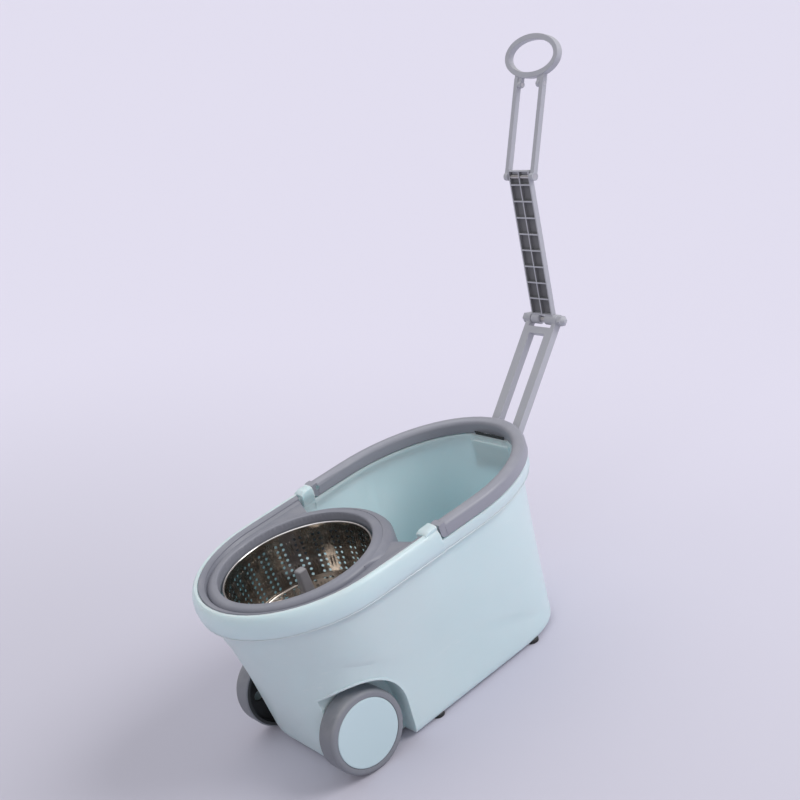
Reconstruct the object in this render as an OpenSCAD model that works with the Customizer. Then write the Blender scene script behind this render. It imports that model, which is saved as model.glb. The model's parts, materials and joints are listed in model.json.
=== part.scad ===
// Wheeled spin-mop bucket: an oval bucket with a perforated spin basket at the front,
// a splash collar round it, a swing-up bail, two wheels and a three-link folding drawbar.
// Millimetres, +Z up, +X towards the drawbar, the basket at the -X end, the floor at z = 0.
// The origin is on the floor, below the middle of the whole object.

/* [Bucket] */
// Height of the rim above the floor
bucket_h = 246.5; // [230:0.5:265]
// Distance from the basket's axis to the front of the rim
rim_front = 129; // [124:0.5:140]
// Distance from the basket's axis to the rear of the rim
rim_rear = 343; // [335:0.5:360]
// Width of the rim
rim_w = 284; // [280:1:300]
// Width of the body at the base
base_w = 210; // [204:1:226]
// Distance from the basket's axis to the front of the base
base_front = 76; // [70:1:90]
// Distance from the basket's axis to the rear of the base
base_rear = 297; // [285:1:305]
// Thickness of the moulded wall
wall = 2.8; // [2.2:0.1:3.4]
// Height of the skirt that hangs from the rim
skirt_h = 31; // [26:1:36]
// Depth of the shelf, below the rim, that the bail lies on
shelf_drop = 15.5; // [14.5:0.5:18]
// Height of the feet below the base
foot_h = 4; // [3:0.5:6]
// Radius of a foot
foot_r = 8; // [6:0.5:9]
// How deep a foot sits in the base
foot_seat = 1; // [0.5:0.1:1.5]

/* [Wheels] */
// Diameter of a wheel
wheel_d = 105; // [95:1:108]
// Width of a wheel
wheel_w = 28; // [24:1:30]
// Width over the outer faces of both wheels
track_w = 220; // [214:1:224]
// How far the wheels sit in front of the basket's axis
wheel_setback = 46; // [40:1:50]
// Radius of an axle pin
axle_r = 4; // [3:0.25:5]
// Gap between a wheel and its arch
arch_gap = 10.5; // [8:0.5:12]

/* [Spin basket] */
// Inner radius of the basket's mouth
mouth_r = 93; // [88:0.5:93]
// Inner radius of the basket at its floor
basket_floor_r = 84; // [76:0.5:86]
// Depth of the basket
basket_depth = 70; // [66:1:80]
// Thickness of the basket's sheet
sheet_t = 1; // [0.8:0.1:1.4]
// Groups of holes round the wall
hole_groups = 23; // [16:1:24]
// Rows of holes in a group
hole_rows = 8; // [4:1:8]
// Radius of a hole
hole_r = 1.9; // [1.2:0.1:2.1]
// Radius of the spindle
spindle_r = 5; // [4:0.25:6]

/* [Splash collar] */
// Radius of the collar's opening
opening_r = 98; // [97.5:0.5:102]
// Thickness of the collar
collar_t = 2.2; // [1.8:0.1:2.8]
// Width of the raised lip round the opening
lip_w = 14; // [11:0.5:15]

/* [Bail] */
// Width of the bail's grip
bail_w = 18; // [17:0.5:19]
// Height of the bail's grip
bail_h = 18; // [16:0.5:19]
// Radius of a bail pin
bail_pin_r = 3; // [2.5:0.25:3.25]

/* [Drawbar] */
// Length of the lower link between its pins
lower_len = 180.8; // [172:0.4:190]
// Width of the lower link
lower_w = 58; // [54:1:60]
// Thickness of the lower link
lower_t = 10; // [8:0.5:11]
// Width of the slot in the lower link
slot_w = 29; // [20:1:32]
// Length of the middle link between its pins
middle_len = 194.6; // [185:0.2:205]
// Width of the middle link
middle_w = 40; // [36:0.5:41]
// Thickness of the middle link
middle_t = 7; // [6:0.5:8]
// Rows of pockets in the middle link
pocket_rows = 9; // [6:1:10]
// Length of a rail between its two pins
rail_len = 119; // [110:1:130]
// Width of a rail
rail_w = 6.8; // [5:0.2:8]
// Width of the ring grip
ring_w = 100; // [90:1:110]
// Length of the ring grip
ring_l = 57; // [50:1:64]
// Width of the band that the ring grip is made of
ring_band = 7.5; // [6:0.5:9]
// Radius of the hinge pins at the base and the knee
hinge_r = 4; // [3:0.25:4.5]
// Angle of the lower link above the horizontal
lower_angle = 42.7; // [38:0.1:43]
// Angle of the middle link above the horizontal
middle_angle = 81.4; // [75:0.1:90]
// Angle of the rails above the horizontal
rail_angle = 60.9; // [55:0.1:70]

/* [Hidden] */
$fn = 48;
run_gap = 0.05;    // radial clearance of a turning fit
part_gap = 0.4;    // gap between pieces that move past each other
eps = 0.01;

// Heights
base_z = foot_h;
floor_z = base_z + wall + 0.2;
skirt_z = bucket_h - skirt_h;
shelf_z = bucket_h - shelf_drop;
top_z = skirt_z - 3;                 // where the body's taper ends
rim_half = rim_w / 2;
base_half = base_w / 2;
rear_hollow = 5;                     // how far the rear wall hollows in at mid height
swoosh_w = 9;                        // height of the swoosh's ledge
swoosh_depth = 2.4;                  // how far the wall below it is set back

// The rim's plan: a round front, straight sides and a longer, elliptical rear
rim_plan = [-rim_front, rim_rear, rim_half, 2, 2, rim_half - rim_front + 1.5, rim_rear - 163];
rear_plan = [-rim_front, rim_rear + 3, rim_half, 2, 2, rim_half - rim_front + 1.5, rim_rear - 163];
// The body's plan under the skirt and at the base
body_plan = [9 - rim_front, rim_rear - 14, rim_half - 7, 2.1, 2.1, 12, rim_rear - 163];
base_plan = [-base_front, base_rear, base_half, 5, 3, 10, base_rear - 107];

// Bail: its centre line runs above the middle of the shelf
bail_inset = 7.5;
bail_half = rim_half - bail_inset;
bail_x = 126.4;                      // the bail's pivot
bail_z = shelf_z + 1 + bail_h / 2;
bail_end = 8.4;                      // from the pivot to the bail's end
bail_pin_z = bail_z + 2;
notch_x = bail_x - bail_end - 1.5;

// A plan's outline: rear arc, left side, front arc, right side, with the same count of points
arc_n = 28;
notch_f = (rim_plan[6] - notch_x) / (rim_plan[6] - rim_plan[5]);
side_f = [notch_f / 2, notch_f - 0.003, notch_f + 0.003, mix(notch_f, 1, 0.25), mix(notch_f, 1, 0.5), mix(notch_f, 1, 0.75)];
side_n = len(side_f);
ring_n = 2 * (arc_n + 1) + 2 * side_n;
function grown(p, d) = [p[0] - d, p[1] + d, p[2] + d, p[3], p[4], p[5], p[6]];
function mix(a, b, f) = a + (b - a) * f;
function bent(c, n) = sign(c) * pow(abs(c), 2 / n);
function outline(p) = concat(
    [for (i = [0:arc_n]) let (a = -90 + 180 * i / arc_n)
        [p[6] + (p[1] - p[6]) * bent(max(cos(a), 0), p[4]), p[2] * bent(sin(a), p[4])]],
    [for (f = side_f) [mix(p[6], p[5], f), p[2]]],
    [for (i = [0:arc_n]) let (a = 90 + 180 * i / arc_n)
        [p[5] + (p[5] - p[0]) * bent(min(cos(a), 0), p[3]), p[2] * bent(sin(a), p[3])]],
    [for (i = [side_n - 1:-1:0]) [mix(p[6], p[5], side_f[i]), -p[2]]]);
// Which points of an outline lie on the rear part, behind the bail's notches
at_rear = concat([for (i = [0:arc_n]) 1], [for (f = side_f) f < notch_f ? 1 : 0],
    [for (i = [0:arc_n]) 0], [for (i = [side_n - 1:-1:0]) side_f[i] < notch_f ? 1 : 0]);

function body_at(z) = let (v = (z - base_z) / (top_z - base_z), m = mix(base_plan, body_plan, v))
    [m[0], m[1] - rear_hollow * 4 * v * (1 - v), m[2], mix(body_plan[3], base_plan[3], pow(1 - v, 3)), m[4], m[5], m[6]];
function body_ring(z, inset) = [for (q = outline(grown(body_at(z), -inset))) [q[0], q[1], z]];
// The swoosh: a ledge that falls from the front to the rear, with the wall below it set back
swoosh = [[-130, 185], [-95, 180], [-32, 149], [39, 121], [97, 107], [142, 93], [182, 78], [206, 64], [232, 46],
    [270, 36], [360, 36]];
function swoosh_z(x) = let (h = [for (i = [0:len(swoosh) - 2]) if (x >= swoosh[i][0] && x < swoosh[i + 1][0])
    mix(swoosh[i][1], swoosh[i + 1][1], (x - swoosh[i][0]) / (swoosh[i + 1][0] - swoosh[i][0]))]) h[0];
function swoosh_set(x) = swoosh_depth * max(0, min(1, (x + 125) / 60)) * max(0, min(1, (300 - x) / 70));
// A row of the side wall: f < 0 lies below the ledge, f > 0 above it, and -1 and 1 are its ends
function wall_row(f, inset) = let (mid = outline(body_at(110)))
    [for (i = [0:ring_n - 1]) let (
        c = swoosh_z(mid[i][0]), low = base_z + 12, high = top_z,
        z = f < 0 ? mix(c - swoosh_w, low, -f) : f > 0 ? mix(c, high, f) : c - swoosh_w,
        set = f <= 0 ? swoosh_set(mid[i][0]) * (1 + f) : 0,
        q = outline(grown(body_at(z), -inset - set))[i]) [q[0], q[1], z]];
// A row of the rim: height and growth in front, height and growth at the rear
function rim_ring(r) = let (a = outline(grown(rim_plan, r[1])), b = outline(grown(rear_plan, r[3])))
    [for (i = [0:ring_n - 1]) at_rear[i] == 1 ? [b[i][0], b[i][1], r[2]] : [a[i][0], a[i][1], r[0]]];

module loft(rings) {
    n = len(rings[0]);
    m = len(rings);
    polyhedron(
        points = [for (r = rings, q = r) q],
        faces = concat(
            [[for (i = [0:n - 1]) i]],
            [for (j = [0:m - 2], i = [0:n - 1]) let (k = (i + 1) % n)
                [j * n + k, j * n + i, (j + 1) * n + i, (j + 1) * n + k]],
            [[for (i = [n - 1:-1:0]) (m - 1) * n + i]]),
        convexity = 10);
}
// Keeps a moulding with many cuts as one closed mesh
module moulding() resize([0, 0, 0]) children();

// Wheel places
wheel_r = wheel_d / 2;
wheel_in = track_w / 2 - wheel_w;    // from the middle to a wheel's inner face
well_in = wheel_in - 2.5;              // from the middle to an arch's inner wall
arch_r = wheel_r + arch_gap;
arch_x = -wheel_setback;
arch_z = wheel_r + 3.5;
hub_r = 9;
hub_in = 2;                          // a hub's inner end, from the wheel's inner face
hub_out = wheel_w - 6;
boss_in = well_in - 13;              // a blind boss inside the bucket

// Drawbar places, in the plane y = 0
pocket_half = lower_w / 2 + 8;       // half width of the recess in the rear wall
pocket_x = rim_rear - 14.6;
base_pin_at = [rim_rear - 5, bucket_h - 34.6];
function along(p, len, angle) = p + len * [cos(angle), sin(angle)];
knee_at = along(base_pin_at, lower_len, lower_angle);
top_pin_at = along(knee_at, middle_len, middle_angle);
ring_mid = rail_len + 36;            // from the top pin to the middle of the ring
ring_t = 9;
ring_end = along(top_pin_at, ring_mid + ring_l / 2, rail_angle);

// The origin is under the middle of the object's length
far_x = ring_end[0] + ring_t / 2 * sin(rail_angle);
skirt_bulge = 3.2;
mid_x = (far_x - rim_front - skirt_bulge) / 2;
module placed() translate([-mid_x, 0, 0]) children();

// ---- Bucket ----
foot_x = [58, 225];
foot_y = base_half - foot_r - 1;
lug_t = bail_w - 7;                  // a lug stands inside the hollow end of the bail's arm
lug_round = bail_h / 2 - 4;

module bucket_shell() {
    outer = [
        [base_z, 5], [base_z + 1.5, 2], [base_z + 5, 0.4], [base_z + 12, 0]
    ];
    rows = [-0.66, -0.33, 0, 0.001, 0.2, 0.4, 0.6, 0.8, 1];
    rim_rows = [
        [skirt_z + 11, -12, skirt_z + 9, -12.4],
        [bucket_h - 6.2, -11.6, shelf_z - wall, -12.4],
        [bucket_h - 6.2, -7, shelf_z - wall, -7],
        [bucket_h - 3.2, -4.6, shelf_z - wall, -2.2],
        [skirt_z + 1.2, -2.6, skirt_z + 1.2, -2.8],
        [skirt_z, -1.4, skirt_z, -1.6],
        [skirt_z + 0.5, 0.2, skirt_z + 0.5, -0.4],
        [skirt_z + 6, 2.6, skirt_z + 4, 1],
        [skirt_z + 15, skirt_bulge, skirt_z + 9, 1.4],
        [skirt_z + 24, 1.8, shelf_z - 2.5, 1.2],
        [bucket_h - 2, -0.8, shelf_z - 0.7, 0.6],
        [bucket_h, -3.6, shelf_z, -0.6],
        [bucket_h, -6.4, shelf_z, -3],
        [bucket_h - 0.6, -7.2, shelf_z, -4.5],
        [bucket_h - 3.4, -7.4, shelf_z, -6],
        [bucket_h - 3.4, -11.6 - wall, shelf_z, -12.4 - wall + 0.6],
        [bucket_h - 5, -12 - wall, shelf_z - 1.5, -12.4 - wall]
    ];
    inner_floor = [[floor_z + 4, 0.6], [floor_z + 1, 2.4], [floor_z, 6]];
    loft(concat(
        [for (o = outer) body_ring(o[0], o[1])],
        [for (f = rows) wall_row(f, 0)],
        [for (r = rim_rows) rim_ring(r)],
        [rim_ring([skirt_z + 11, -12 - wall, skirt_z + 9, -12.4 - wall])],
        [for (i = [len(rows) - 1:-1:0]) wall_row(rows[i], wall)],
        [wall_row(-1, wall)],
        [for (f = inner_floor) body_ring(f[0], f[1] + wall)]));
}
// The body's outer form, slightly inside its surface, that wells and pockets are trimmed to
module body_core() loft(concat(
    [for (z = [base_z + 0.5, base_z + 12]) body_ring(z, z < base_z + 2 ? 5 : 1)],
    [body_ring(mix(base_z, top_z, 0.5), 1), body_ring(top_z, 1)],
    [rim_ring([skirt_z + 11, -13, skirt_z + 9, -13.4]), rim_ring([shelf_z - 1, -13, shelf_z - 1, -13.4])]));
module arch(side, inner, extra) {
    r = arch_r + extra;
    translate([arch_x, side * inner, arch_z]) rotate([-side * 90, 0, 0]) cylinder(r = r, h = 80, $fn = 64);
    translate([arch_x - r, side > 0 ? inner : -inner - 80, -20]) cube([2 * r, 80, arch_z + 20]);
}
module rear_pocket(extra, low) {
    translate([pocket_x - extra, -pocket_half - extra, low])
        cube([120, 2 * (pocket_half + extra), 300]);
}
module bail_lug(side) {
    y = side * bail_half - lug_t / 2;
    translate([bail_x, y, bail_pin_z]) rotate([-90, 0, 0]) cylinder(r = lug_round, h = lug_t);
    translate([bail_x - lug_round + 1, y, shelf_z - 1.5]) cube([2 * lug_round - 2, lug_t, bail_pin_z - shelf_z + 1.5]);
}
// The block that ends the rim in front of a bail's notch, ramped up from the rim's height
module notch_block() {
    profile = [
        [-1.6, 0, 0], [-0.9, 0, 0.9], [-3.6, 0.1, 1.4], [-6.5, 0.4, 1.5], [-16.5, 0.4, 1.5],
        [-19.6, 0, 1], [-20.6, -2.5, 0], [-19.6, -10, 0], [-14, -19, 0], [-8, -19, 0], [-8, -3, 0], [-3, -2, 0]
    ];
    loft([for (c = [[collar_end_x + 1, 0], [collar_end_x + 6, 2.4], [notch_x, 2.8]])
        [for (q = profile) [c[0], rim_half + q[0], bucket_h + q[1] + c[1] * q[2] - (q[1] == 0 && q[2] == 0 ? 3 : 0)]]]);
}
// The pad outside the rear wall that the drawbar's bracket is screwed to
module bracket_pad() translate([pocket_x - 7, -pocket_half, base_pin_at[1] - 28]) cube([7, 2 * pocket_half, 40]);
module axle_boss(side) {
    translate([-wheel_setback, side * boss_in, wheel_r]) rotate([-side * 90, 0, 0])
        cylinder(r = axle_r + 5, h = wheel_in + hub_in - part_gap - boss_in);
}
module bucket_body() color("lightcyan") placed() {
    sides = [-1, 1];
    difference() {
        moulding() difference() {
            union() {
                difference() {
                    union() {
                        bucket_shell();
                        intersection() {
                            body_core();
                            union() {
                                for (s = sides) arch(s, well_in - wall, wall);
                                difference() {
                                    rear_pocket(wall, -10);
                                    translate([pocket_x - 50, -100, shelf_z - 2]) cube([200, 200, 50]);
                                }
                            }
                        }
                    }
                    for (s = sides) arch(s, well_in, 0);
                    rear_pocket(0, base_z + 16);
                }
                for (s = sides) axle_boss(s);
                for (s = sides) bail_lug(s);
                notch_block();
                mirror([0, 1, 0]) notch_block();
                bracket_pad();
                translate([0, 0, floor_z - 1]) cylinder(r = tower_spigot_r, h = 13);
            }
            for (x = foot_x, s = sides) translate([x, s * foot_y, 0]) cylinder(r = foot_r + 0.1, h = base_z + foot_seat);
        }
        for (s = sides) translate([-wheel_setback, s * (boss_in + 3), wheel_r]) rotate([-s * 90, 0, 0])
            cylinder(r = axle_r, h = 40);
        for (s = sides) translate([bail_x, s * (bail_half - 12), bail_pin_z]) rotate([-s * 90, 0, 0])
            cylinder(r = bail_pin_r, h = 24);
        for (p = bracket_screw_at) translate([pocket_x - 2, p[0], p[1]]) rotate([0, 90, 0])
            cylinder(r = 2, h = 3, $fn = 24);
    }
}
module foot(x, side) color("dimgray") placed()
    translate([x, side * foot_y, 0]) difference() {
        cylinder(r = foot_r, h = base_z + foot_seat);
        translate([0, 0, -eps]) cylinder(r = foot_r - 3, h = 1);
    }

// ---- Spindle and basket ----
rim_bead_r = 1.5;                    // the rolled edge's radius
basket_top = bucket_h - 11.5;        // top of the rolled edge
basket_low = basket_top - basket_depth;
band_h = 3.5;                        // the plain, straight band under the rolled edge
bead_z = basket_top - rim_bead_r;
band_z = bead_z - band_h;
hub_h = 18;
hub_flange_r = 28;
washer_t = 2;
tower_top = basket_low - sheet_t - hub_h - washer_t;
tower_spigot_r = 30;
bush_r = spindle_r + 3;
bush_h = 15;
screw_r = 2;
screw_at = 19;
post_flange_t = 4;
post_top = basket_top - 9;

module spindle_tower() color("lightgray") placed() difference() {
    rotate_extrude() polygon([
        [spindle_r, floor_z + 20], [spindle_r + 3, floor_z + 20], [spindle_r + 3, tower_top - 8],
        [14, tower_top - 8], [tower_spigot_r + 4, floor_z + 14], [tower_spigot_r + 0.3, floor_z + 14],
        [tower_spigot_r + 0.3, floor_z], [48, floor_z], [48, floor_z + 3], [tower_spigot_r + 8, floor_z + 6],
        [17, tower_top - 4], [17, tower_top], [spindle_r, tower_top]
    ]);
    for (a = [0:60:300]) rotate(a) translate([0, -2, floor_z + 30])
        rotate([90, 0, 90]) linear_extrude(80) polygon([[0, 0], [4, 0], [4, 30], [2, 33], [0, 30]]);
}
module spindle_pin() color("silver") placed() translate([0, 0, floor_z + 26]) {
    h = basket_low - sheet_t - 2 - floor_z - 26;
    cylinder(r = spindle_r, h = h - 1);
    translate([0, 0, h - 1]) cylinder(r1 = spindle_r, r2 = spindle_r - 1, h = 1);
}
module thrust_washer() color("gold") placed() translate([0, 0, tower_top]) difference() {
    cylinder(r = 11, h = washer_t - 0.1);
    translate([0, 0, -1]) cylinder(r = spindle_r + 0.1, h = washer_t + 2);
}
module bearing_bush() color("goldenrod") placed() translate([0, 0, tower_top + washer_t]) difference() {
    cylinder(r = bush_r, h = bush_h);
    translate([0, 0, -1]) cylinder(r = spindle_r + run_gap, h = bush_h + 2);
}
module screw_ring(r, z, h) for (a = [45:90:315]) rotate(a) translate([screw_at, 0, z]) cylinder(r = r, h = h, $fn = 24);
module basket_hub() color("gray") placed() difference() {
    z = tower_top + washer_t;
    union() {
        translate([0, 0, z]) cylinder(r = bush_r + 4, h = hub_h);
        translate([0, 0, z + hub_h - 4]) cylinder(r = hub_flange_r, h = 4);
        for (a = [0:45:315]) rotate(a) translate([0, -1.2, z + 6]) rotate([90, 0, 90])
            linear_extrude(hub_flange_r - 2) polygon([[0, 0], [2.4, 0], [2.4, 9], [0, 9]]);
    }
    translate([0, 0, z - eps]) cylinder(r = bush_r, h = bush_h + eps);
    translate([0, 0, z + bush_h - 1]) cylinder(r = spindle_r + 1, h = 2);
    screw_ring(screw_r, z - 1, hub_h + 2);
}
module basket_floor() color("silver") placed() translate([0, 0, basket_low - sheet_t]) difference() {
    union() {
        cylinder(r = basket_floor_r - 3, h = sheet_t);
        rotate_extrude($fn = 96) polygon([
            [basket_floor_r - 3 - eps, 0], [basket_floor_r, 0], [basket_floor_r, 4],
            [basket_floor_r - sheet_t, 4], [basket_floor_r - sheet_t, sheet_t], [basket_floor_r - 3 - eps, sheet_t]
        ]);
    }
    screw_ring(screw_r, -1, sheet_t + 2);
    for (r = [40, 54, 68], a = [0:30:330]) rotate(a + (r == 54 ? 15 : 0)) translate([r, 0, -1])
        cylinder(r = 3, h = sheet_t + 2, $fn = 24);
    for (g = [0:hole_groups - 1], c = [-1, 1]) rotate(hole_turn + g * 360 / hole_groups + c * 2.8)
        translate([basket_floor_r - 6.5, 0, -1]) cylinder(r = hole_r, h = sheet_t + 2, $fn = 16);
}
wall_slope = atan((mouth_r - basket_floor_r) / (band_z - basket_low));
row_pitch = (basket_depth - 18.9) / (hole_rows - 1);
hole_turn = 11.2;                    // where the first group lies
module basket_wall() color("silver") placed() difference() {
    t = sheet_t;
    low = basket_low - t;
    rotate_extrude($fn = 96) polygon([
        [basket_floor_r + 0.02, low], [mouth_r, band_z], [mouth_r, bead_z],
        [mouth_r + t, bead_z], [mouth_r + t, band_z], [basket_floor_r + t + 0.02, low]
    ]);
    for (g = [0:hole_groups - 1], k = [0:hole_rows - 1], c = [-1, 1]) {
        z = basket_top - 13 - row_pitch * k;
        r = mix(basket_floor_r, mouth_r, (z - basket_low) / (band_z - basket_low));
        rotate(hole_turn + g * 360 / hole_groups + c * atan(3.9 / r)) translate([r - 3, 0, z])
            rotate([0, 90 + wall_slope, 0]) cylinder(r = hole_r, h = 8, $fn = 16);
    }
}
module basket_rim() color("silver") placed() translate([0, 0, bead_z])
    rotate_extrude($fn = 96) difference() {
        translate([mouth_r + rim_bead_r, 0]) circle(r = rim_bead_r, $fn = 16);
        translate([mouth_r - 1, -2]) square([sheet_t + 1, 2]);
    }
module center_post() color("gray") placed() translate([0, 0, basket_low]) {
    h = post_top - basket_low;
    difference() {
        union() {
            cylinder(r = 27, h = post_flange_t);
            translate([0, 0, post_flange_t - eps]) cylinder(r1 = 20, r2 = 12, h = 8);
            hull() for (x = [-1, 1], y = [-1, 1]) {
                translate([x * 5.2, y * 4.6, 0]) cylinder(r = 3, h = 10, $fn = 24);
                translate([x * 3.6, y * 3.2, h - 3]) sphere(r = 3, $fn = 24);
            }
        }
        translate([0, 0, 0]) screw_ring(screw_r, -1, 4);
    }
}
module basket_screws() color("darkgray") placed() {
    z = tower_top + washer_t;
    screw_ring(screw_r, z + hub_h - 6, 6 + sheet_t + 3);
    difference() {
        screw_ring(3.6, z + hub_h - 8, 2);
        screw_ring(screw_r - 0.8, z + hub_h - 9, 2);
    }
}

// ---- Splash collar ----
lip_out = opening_r + lip_w;
lip_top = bucket_h - 0.5;
collar_edge = -7.4 - part_gap;       // the collar's edge, inside the rim's step
dish_z = lip_top - 8.6;             // the valley round the lip
wing_angle = 45;
collar_end_x = 97.5;                 // where the collar's wings end
apron_angle = 58;
dish_n = 48;
function ray_out(a, growth) = let (o = outline(grown(rim_plan, growth)), d = [cos(a), sin(a)],
    hits = [for (i = [0:ring_n - 1]) let (p = o[i], q = o[(i + 1) % ring_n], e = q - p,
        den = d[0] * e[1] - d[1] * e[0], t = (p[0] * e[1] - p[1] * e[0]) / den,
        u = (p[0] * d[1] - p[1] * d[0]) / den) if (abs(den) > 1e-6 && t > 0 && u >= -1e-9 && u < 1) t]) hits[0];
dish_angles = [for (i = [0:dish_n]) wing_angle + (360 - 2 * wing_angle) * i / dish_n];
dish_reach = [for (a = dish_angles) ray_out(a, collar_edge)];
// How much a distance square to the edge grows along a station's ray
dish_slant = [for (i = [0:dish_n]) (dish_reach[i] - ray_out(dish_angles[i], collar_edge - 7)) / 7];
// The dish is swept from wing to wing round the opening; each station is a closed band
module collar_dish() {
    n = dish_n + 1;
    r_in = lip_out - collar_t / 2;
    bands = [for (i = [0:dish_n]) let (a = dish_angles[i], r = dish_reach[i], k = dish_slant[i], c = cos(a), s = sin(a))
        [for (q = [
            [r_in, dish_z], [r - 9.7 * k, dish_z + 0.8], [r - 8.5 * k, dish_z + 2.6], [r - 6.6 * k, bucket_h - 2.8],
            [r - 4 * k, bucket_h - 1.2], [r - 1 * k, bucket_h + 0.1], [r, bucket_h - 0.8], [r, bucket_h - 3.2],
            [r - 7.5 * k, bucket_h - 3.2], [r - 7.7 * k, bucket_h - 6], [r - 8.9 * k, dish_z - 1.2],
            [r_in, dish_z - collar_t]
        ]) [q[0] * c, q[0] * s, q[1]]]];
    loft(bands);
}
module splash_collar() color("darkgray") placed() difference() {
    t = collar_t;
    moulding() union() {
        difference() {
            collar_dish();
            // the wings' slanted ends
            for (s = [-1, 1]) translate([0, 0, dish_z - 30]) linear_extrude(60) polygon([
                [collar_end_x - 0.36 * 134, 0], [collar_end_x + 7.2, s * 154], [300, s * 154], [300, 0]
            ]);
        }
        rotate_extrude($fn = 72) polygon([
            [opening_r + 0.5, basket_top - 7], [opening_r + 0.5, basket_top + 0.3], [opening_r - 1.2, basket_top + 0.3],
            [opening_r - 1.2, lip_top - 4.2], [opening_r + 1, lip_top - 1], [opening_r + 3, lip_top],
            [opening_r + 6, lip_top], [lip_out - 4, lip_top - 1.6], [lip_out - 1, lip_top - 4],
            [lip_out, lip_top - 6.6], [lip_out, lip_top - 15], [lip_out - t, lip_top - 15],
            [lip_out - t, lip_top - 6.6], [lip_out - t - 1.5, lip_top - 5], [lip_out - 5, lip_top - 4],
            [opening_r + 5, lip_top - t], [opening_r + t + 0.5, lip_top - t - 1.4], [opening_r + t + 0.5, basket_top - 7]
        ]);
        // the apron that slopes down into the bucket behind the opening
        rotate([0, 0, -apron_angle]) rotate_extrude(angle = 2 * apron_angle, $fn = 72) polygon([
            [lip_out - 1.2, lip_top - 3.6], [lip_out + 3, lip_top - 4.6], [lip_out + 8, lip_top - 8],
            [lip_out + 11, lip_top - 12], [lip_out + 11, lip_top - 14], [lip_out + 9, lip_top - 14],
            [lip_out + 6, lip_top - 9.6], [lip_out + 2, lip_top - 7], [lip_out - 1.2, lip_top - 6.4]
        ]);
    }
    translate([0, 0, basket_top - 5]) cylinder(r = opening_r, h = 40, $fn = 96);
}

// ---- Bail ----
bail_plan_front = rim_plan[6];
bail_reach = rim_rear - bail_inset + 5.5 - bail_plan_front;
bail_arc = 32;
function bail_path() = concat(
    [[bail_x, -bail_half], [(bail_x + bail_plan_front) / 2, -bail_half]],
    [for (i = [0:bail_arc]) let (a = -90 + 180 * i / bail_arc)
        [bail_plan_front + bail_reach * cos(a), bail_half * sin(a)]],
    [[(bail_x + bail_plan_front) / 2, bail_half], [bail_x, bail_half]]);
bail_section = let (w = bail_w / 2, h = bail_h / 2) [
    [-w + 1, -h], [w - 1, -h], [w, -h + 1], [w, h - 6], [w - 1.4, h - 2.6], [w - 4.4, h - 0.6], [0, h],
    [-w + 4.4, h - 0.6], [-w + 1.4, h - 2.6], [-w, h - 6], [-w, -h + 1]
];
module bail_bar() {
    p = bail_path();
    m = len(p);
    rings = [for (i = [0:m - 1]) let (d = i == 0 ? p[1] - p[0] : i == m - 1 ? p[i] - p[i - 1] : p[i + 1] - p[i - 1],
        u = d / norm(d), out = [u[1], -u[0]])
        [for (q = bail_section) [p[i][0] + out[0] * q[0], p[i][1] + out[1] * q[0], bail_z + q[1]]]];
    loft([for (i = [m - 1:-1:0]) rings[i]]);
}
module bail() color("darkgray") placed() difference() {
    h = bail_h / 2;
    union() {
        bail_bar();
        for (s = [-1, 1]) translate([bail_x, s * bail_half, bail_z]) rotate([90, 0, 0])
            linear_extrude(bail_w - 0.8, center = true) polygon([
                [1, -h], [-4.4, -h + 0.4], [-7.4, -h + 2.4], [-bail_end, -h + 5], [-bail_end, h - 3.4],
                [-bail_end + 1, h - 1.2], [-bail_end + 3.4, h - 0.3], [1, h - 0.3]
            ]);
    }
    for (s = [-1, 1]) translate([bail_x, s * bail_half, bail_pin_z]) {
        w = lug_t + 2 * part_gap;
        c = lug_round + part_gap;
        // the hollow that the lug stands in, open below and in front
        rotate([90, 0, 0]) cylinder(r = c, h = w, center = true);
        translate([-20, -w / 2, -20]) cube([20 + c, w, 20]);
        translate([-20, -w / 2, -20]) cube([20, w, 20 + c]);
        translate([0, -s * bail_w, 0]) rotate([-s * 90, 0, 0]) cylinder(r = bail_pin_r + run_gap, h = 1.5 * bail_w - 1.4);
    }
}
module bail_pin(side) color("silver") placed()
    translate([bail_x, side * (bail_half - bail_w / 2 + 0.4), bail_pin_z]) rotate([-side * 90, 0, 0])
        cylinder(r = bail_pin_r, h = bail_w - 2.4);

// ---- Wheels: a wheel is drawn with its inner face at z = 0 and turned on to its axle ----
module on_axle(side) placed() translate([-wheel_setback, side * wheel_in, wheel_r]) rotate([-side * 90, 0, 0]) children();
rim_t = 6;
cap_r = wheel_r - 9;
cap_t = 2.8;
cap_in = wheel_w - cap_t - 0.6;
module wheel(side) color("dimgray") on_axle(side) difference() {
    rotate_extrude($fn = 96) polygon([
        [axle_r + run_gap, hub_in], [hub_r, hub_in], [hub_r, 14], [wheel_r - rim_t, 13], [wheel_r - rim_t, 0],
        [wheel_r - 2, 0], [wheel_r - 0.6, 0.6], [wheel_r, 2], [wheel_r, wheel_w - 5],
        [wheel_r - 1, wheel_w - 2], [wheel_r - 3, wheel_w - 0.4], [wheel_r - 5.5, wheel_w],
        [cap_r + 0.4, wheel_w - 0.2], [cap_r + 0.2, cap_in], [cap_r - 4, cap_in], [cap_r - 4, 17],
        [hub_r, 16.5], [hub_r, hub_out], [axle_r + run_gap, hub_out]
    ]);
    for (a = [0:60:300]) rotate(a) translate([(hub_r + wheel_r - rim_t) / 2, 0, 10]) cylinder(r = 7, h = 10);
}
module wheel_cap(side) color("lightcyan") on_axle(side) {
    rotate_extrude($fn = 96) polygon([
        [0, cap_in], [cap_r, cap_in], [cap_r, wheel_w - 1], [cap_r - 0.8, wheel_w - 0.3],
        [cap_r - 3, wheel_w], [0, wheel_w + 0.4]
    ]);
    rotate_extrude($fn = 96) translate([cap_r - 6.6, cap_in - 5]) square([2.2, 5 + eps]);
}
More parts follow.
